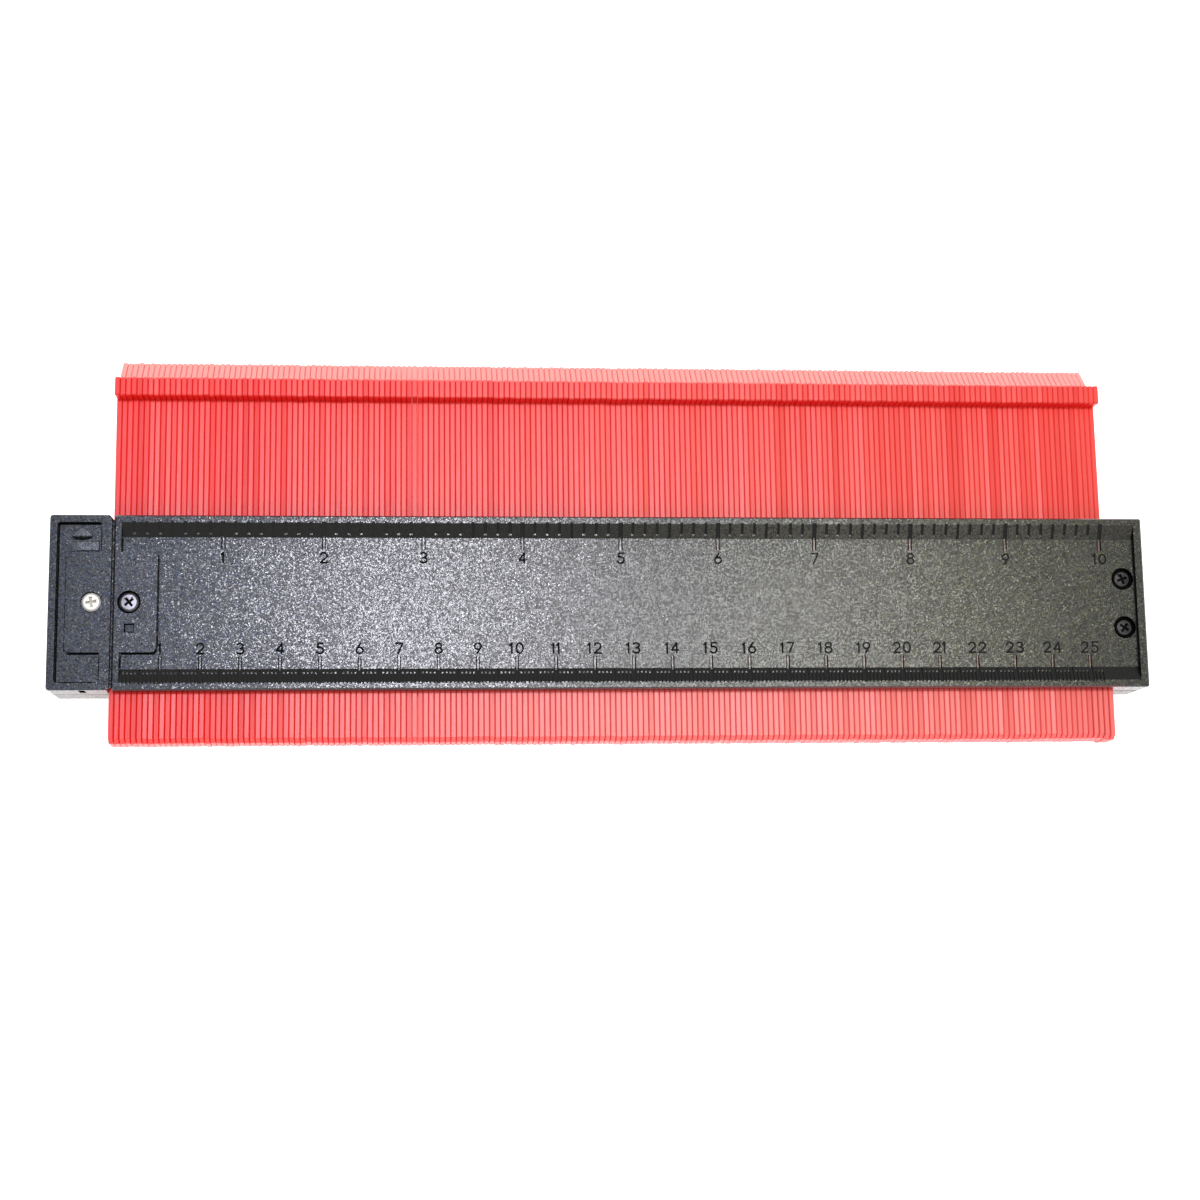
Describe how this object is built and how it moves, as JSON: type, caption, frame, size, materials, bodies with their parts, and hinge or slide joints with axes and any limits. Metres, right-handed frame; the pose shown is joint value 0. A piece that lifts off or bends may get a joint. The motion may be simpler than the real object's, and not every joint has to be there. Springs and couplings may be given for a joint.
{
  "type": "contour gauge",
  "caption": "Hand-held contour gauge: long flat black housing with inch and centimetre scales, a row of thin red fingers sliding across it, and a releasable end block.",
  "frame": {"origin": "middle of the housing's flat rear face", "axes": "+X along the housing away from the end block, +Y along the fingers towards their tips, +Z out of the scaled front face"},
  "size_m": [0.283, 0.1022, 0.018],
  "materials": {
    "black_plastic": "moulded, spark-textured",
    "red_plastic": "moulded, satin",
    "black_steel": "black oxide",
    "zinc_steel": "zinc plated",
    "felt": "pressed felt"
  },
  "bodies": {
    "housing": {"front_shell": "black_plastic", "rear_shell": "black_plastic", "coupling_bracket": "black_steel", "bracket_screw": "black_steel", "housing_screw_upper": "black_steel", "housing_screw_lower": "black_steel", "felt_strip_front": "felt", "felt_strip_rear": "felt"},
    "end_block": {"end_block_front": "black_plastic", "end_block_rear": "black_plastic", "end_block_screw": "zinc_steel"},
    "finger_group_01": {"finger_group_01": "red_plastic"},
    "finger_group_02": {"finger_group_02": "red_plastic"},
    "finger_group_03": {"finger_group_03": "red_plastic"},
    "finger_group_04": {"finger_group_04": "red_plastic"},
    "finger_group_05": {"finger_group_05": "red_plastic"},
    "finger_group_06": {"finger_group_06": "red_plastic"},
    "finger_group_07": {"finger_group_07": "red_plastic"},
    "finger_group_08": {"finger_group_08": "red_plastic"},
    "finger_group_09": {"finger_group_09": "red_plastic"},
    "finger_group_10": {"finger_group_10": "red_plastic"},
    "finger_group_11": {"finger_group_11": "red_plastic"},
    "finger_group_12": {"finger_group_12": "red_plastic"},
    "finger_group_13": {"finger_group_13": "red_plastic"},
    "finger_group_14": {"finger_group_14": "red_plastic"},
    "finger_group_15": {"finger_group_15": "red_plastic"},
    "finger_group_16": {"finger_group_16": "red_plastic"},
    "finger_group_17": {"finger_group_17": "red_plastic"},
    "finger_group_18": {"finger_group_18": "red_plastic"},
    "finger_group_19": {"finger_group_19": "red_plastic"},
    "finger_group_20": {"finger_group_20": "red_plastic"},
    "finger_group_21": {"finger_group_21": "red_plastic"},
    "finger_group_22": {"finger_group_22": "red_plastic"},
    "finger_group_23": {"finger_group_23": "red_plastic"},
    "finger_group_24": {"finger_group_24": "red_plastic"},
    "finger_group_25": {"finger_group_25": "red_plastic"},
    "finger_group_26": {"finger_group_26": "red_plastic"},
    "finger_group_27": {"finger_group_27": "red_plastic"},
    "finger_group_28": {"finger_group_28": "red_plastic"},
    "finger_group_29": {"finger_group_29": "red_plastic"},
    "finger_group_30": {"finger_group_30": "red_plastic"},
    "finger_group_31": {"finger_group_31": "red_plastic"},
    "finger_group_32": {"finger_group_32": "red_plastic"},
    "finger_group_33": {"finger_group_33": "red_plastic"},
    "finger_group_34": {"finger_group_34": "red_plastic"},
    "finger_group_35": {"finger_group_35": "red_plastic"},
    "finger_group_36": {"finger_group_36": "red_plastic"},
    "finger_group_37": {"finger_group_37": "red_plastic"},
    "finger_group_38": {"finger_group_38": "red_plastic"},
    "finger_group_39": {"finger_group_39": "red_plastic"},
    "finger_group_40": {"finger_group_40": "red_plastic"},
    "finger_group_41": {"finger_group_41": "red_plastic"},
    "finger_group_42": {"finger_group_42": "red_plastic"},
    "finger_group_43": {"finger_group_43": "red_plastic"},
    "finger_group_44": {"finger_group_44": "red_plastic"},
    "finger_group_45": {"finger_group_45": "red_plastic"},
    "finger_group_46": {"finger_group_46": "red_plastic"}
  },
  "joints": [
    {"name": "end_block_release", "type": "slide", "parent": "housing", "child": "end_block", "axis": [0, 1, 0], "range_m": [0, 0.0058]},
    {"name": "finger_slide_01", "type": "slide", "parent": "housing", "child": "finger_group_01", "axis": [0, 1, 0], "range_m": [-0.03155, 0.013]},
    {"name": "finger_slide_02", "type": "slide", "parent": "housing", "child": "finger_group_02", "axis": [0, 1, 0], "range_m": [-0.03155, 0.013]},
    {"name": "finger_slide_03", "type": "slide", "parent": "housing", "child": "finger_group_03", "axis": [0, 1, 0], "range_m": [-0.03155, 0.013]},
    {"name": "finger_slide_04", "type": "slide", "parent": "housing", "child": "finger_group_04", "axis": [0, 1, 0], "range_m": [-0.03155, 0.013]},
    {"name": "finger_slide_05", "type": "slide", "parent": "housing", "child": "finger_group_05", "axis": [0, 1, 0], "range_m": [-0.03155, 0.013]},
    {"name": "finger_slide_06", "type": "slide", "parent": "housing", "child": "finger_group_06", "axis": [0, 1, 0], "range_m": [-0.03155, 0.013]},
    {"name": "finger_slide_07", "type": "slide", "parent": "housing", "child": "finger_group_07", "axis": [0, 1, 0], "range_m": [-0.03155, 0.013]},
    {"name": "finger_slide_08", "type": "slide", "parent": "housing", "child": "finger_group_08", "axis": [0, 1, 0], "range_m": [-0.03155, 0.013]},
    {"name": "finger_slide_09", "type": "slide", "parent": "housing", "child": "finger_group_09", "axis": [0, 1, 0], "range_m": [-0.03155, 0.013]},
    {"name": "finger_slide_10", "type": "slide", "parent": "housing", "child": "finger_group_10", "axis": [0, 1, 0], "range_m": [-0.03155, 0.013]},
    {"name": "finger_slide_11", "type": "slide", "parent": "housing", "child": "finger_group_11", "axis": [0, 1, 0], "range_m": [-0.03155, 0.013]},
    {"name": "finger_slide_12", "type": "slide", "parent": "housing", "child": "finger_group_12", "axis": [0, 1, 0], "range_m": [-0.03155, 0.013]},
    {"name": "finger_slide_13", "type": "slide", "parent": "housing", "child": "finger_group_13", "axis": [0, 1, 0], "range_m": [-0.03155, 0.013]},
    {"name": "finger_slide_14", "type": "slide", "parent": "housing", "child": "finger_group_14", "axis": [0, 1, 0], "range_m": [-0.03155, 0.013]},
    {"name": "finger_slide_15", "type": "slide", "parent": "housing", "child": "finger_group_15", "axis": [0, 1, 0], "range_m": [-0.03155, 0.013]},
    {"name": "finger_slide_16", "type": "slide", "parent": "housing", "child": "finger_group_16", "axis": [0, 1, 0], "range_m": [-0.03155, 0.013]},
    {"name": "finger_slide_17", "type": "slide", "parent": "housing", "child": "finger_group_17", "axis": [0, 1, 0], "range_m": [-0.03155, 0.013]},
    {"name": "finger_slide_18", "type": "slide", "parent": "housing", "child": "finger_group_18", "axis": [0, 1, 0], "range_m": [-0.03155, 0.013]},
    {"name": "finger_slide_19", "type": "slide", "parent": "housing", "child": "finger_group_19", "axis": [0, 1, 0], "range_m": [-0.03155, 0.013]},
    {"name": "finger_slide_20", "type": "slide", "parent": "housing", "child": "finger_group_20", "axis": [0, 1, 0], "range_m": [-0.03155, 0.013]},
    {"name": "finger_slide_21", "type": "slide", "parent": "housing", "child": "finger_group_21", "axis": [0, 1, 0], "range_m": [-0.03155, 0.013]},
    {"name": "finger_slide_22", "type": "slide", "parent": "housing", "child": "finger_group_22", "axis": [0, 1, 0], "range_m": [-0.03155, 0.013]},
    {"name": "finger_slide_23", "type": "slide", "parent": "housing", "child": "finger_group_23", "axis": [0, 1, 0], "range_m": [-0.03155, 0.013]},
    {"name": "finger_slide_24", "type": "slide", "parent": "housing", "child": "finger_group_24", "axis": [0, 1, 0], "range_m": [-0.03155, 0.013]},
    {"name": "finger_slide_25", "type": "slide", "parent": "housing", "child": "finger_group_25", "axis": [0, 1, 0], "range_m": [-0.03155, 0.013]},
    {"name": "finger_slide_26", "type": "slide", "parent": "housing", "child": "finger_group_26", "axis": [0, 1, 0], "range_m": [-0.03155, 0.013]},
    {"name": "finger_slide_27", "type": "slide", "parent": "housing", "child": "finger_group_27", "axis": [0, 1, 0], "range_m": [-0.03155, 0.013]},
    {"name": "finger_slide_28", "type": "slide", "parent": "housing", "child": "finger_group_28", "axis": [0, 1, 0], "range_m": [-0.03155, 0.013]},
    {"name": "finger_slide_29", "type": "slide", "parent": "housing", "child": "finger_group_29", "axis": [0, 1, 0], "range_m": [-0.03155, 0.013]},
    {"name": "finger_slide_30", "type": "slide", "parent": "housing", "child": "finger_group_30", "axis": [0, 1, 0], "range_m": [-0.03155, 0.013]},
    {"name": "finger_slide_31", "type": "slide", "parent": "housing", "child": "finger_group_31", "axis": [0, 1, 0], "range_m": [-0.03155, 0.013]},
    {"name": "finger_slide_32", "type": "slide", "parent": "housing", "child": "finger_group_32", "axis": [0, 1, 0], "range_m": [-0.03155, 0.013]},
    {"name": "finger_slide_33", "type": "slide", "parent": "housing", "child": "finger_group_33", "axis": [0, 1, 0], "range_m": [-0.03155, 0.013]},
    {"name": "finger_slide_34", "type": "slide", "parent": "housing", "child": "finger_group_34", "axis": [0, 1, 0], "range_m": [-0.03155, 0.013]},
    {"name": "finger_slide_35", "type": "slide", "parent": "housing", "child": "finger_group_35", "axis": [0, 1, 0], "range_m": [-0.03155, 0.013]},
    {"name": "finger_slide_36", "type": "slide", "parent": "housing", "child": "finger_group_36", "axis": [0, 1, 0], "range_m": [-0.03155, 0.013]},
    {"name": "finger_slide_37", "type": "slide", "parent": "housing", "child": "finger_group_37", "axis": [0, 1, 0], "range_m": [-0.03155, 0.013]},
    {"name": "finger_slide_38", "type": "slide", "parent": "housing", "child": "finger_group_38", "axis": [0, 1, 0], "range_m": [-0.03155, 0.013]},
    {"name": "finger_slide_39", "type": "slide", "parent": "housing", "child": "finger_group_39", "axis": [0, 1, 0], "range_m": [-0.03155, 0.013]},
    {"name": "finger_slide_40", "type": "slide", "parent": "housing", "child": "finger_group_40", "axis": [0, 1, 0], "range_m": [-0.03155, 0.013]},
    {"name": "finger_slide_41", "type": "slide", "parent": "housing", "child": "finger_group_41", "axis": [0, 1, 0], "range_m": [-0.03155, 0.013]},
    {"name": "finger_slide_42", "type": "slide", "parent": "housing", "child": "finger_group_42", "axis": [0, 1, 0], "range_m": [-0.03155, 0.013]},
    {"name": "finger_slide_43", "type": "slide", "parent": "housing", "child": "finger_group_43", "axis": [0, 1, 0], "range_m": [-0.03155, 0.013]},
    {"name": "finger_slide_44", "type": "slide", "parent": "housing", "child": "finger_group_44", "axis": [0, 1, 0], "range_m": [-0.03155, 0.013]},
    {"name": "finger_slide_45", "type": "slide", "parent": "housing", "child": "finger_group_45", "axis": [0, 1, 0], "range_m": [-0.03155, 0.013]},
    {"name": "finger_slide_46", "type": "slide", "parent": "housing", "child": "finger_group_46", "axis": [0, 1, 0], "range_m": [-0.03155, 0.013]}
  ]
}
